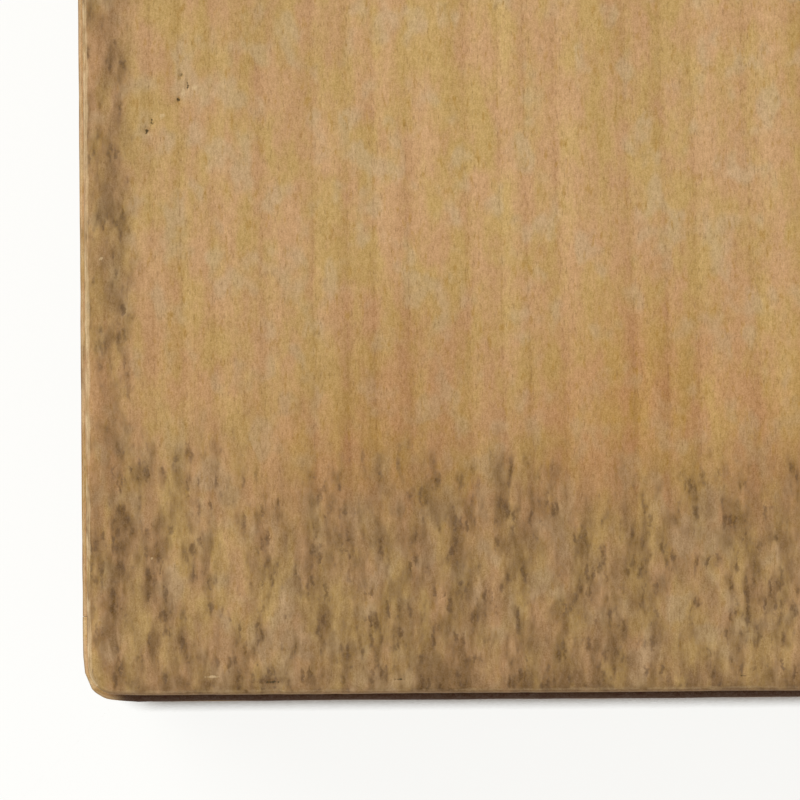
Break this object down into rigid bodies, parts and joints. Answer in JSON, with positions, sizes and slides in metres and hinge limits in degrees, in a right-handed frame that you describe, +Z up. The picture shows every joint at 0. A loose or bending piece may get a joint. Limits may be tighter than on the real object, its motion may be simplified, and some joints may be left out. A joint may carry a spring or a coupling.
{
  "type": "lidded storage box",
  "caption": "Square paulownia storage box for a sweets bowl, with finger-jointed pegged walls, slit feet for a cord and a lift-off lid on mitred battens.",
  "frame": {"origin": "middle of the box's footprint, on the surface that the feet stand on", "axes": "+Z up through the lid; +X to the right of someone reading the lid; the front wall faces -Y"},
  "size_m": [0.25, 0.25, 0.1365],
  "materials": {
    "lid_wood": "aged bare paulownia, smoothed by handling, stained darker towards the worn edges",
    "wall_wood": "aged bare paulownia, matt, darker end grain at the finger joints",
    "batten_wood": "bare paulownia kept paler inside the closed box",
    "peg_wood": "darker hard wooden pegs, end grain showing"
  },
  "bodies": {
    "box": {"front_wall": "wall_wood", "right_wall": "wall_wood", "back_wall": "wall_wood", "left_wall": "wall_wood", "bottom_board": "wall_wood", "front_foot": "wall_wood", "back_foot": "wall_wood", "front_wall_pegs": "peg_wood", "right_wall_pegs": "peg_wood", "back_wall_pegs": "peg_wood", "left_wall_pegs": "peg_wood", "bottom_pegs": "peg_wood", "front_foot_pegs": "peg_wood", "back_foot_pegs": "peg_wood"},
    "lid": {"lid_board": "lid_wood", "lid_batten_front": "batten_wood", "lid_batten_right": "batten_wood", "lid_batten_back": "batten_wood", "lid_batten_left": "batten_wood", "lid_batten_pegs": "peg_wood"}
  },
  "joints": [
    {"name": "lid_lift", "type": "slide", "parent": "box", "child": "lid", "axis": [0, 0, 1], "range_m": [0, 0.15]}
  ]
}
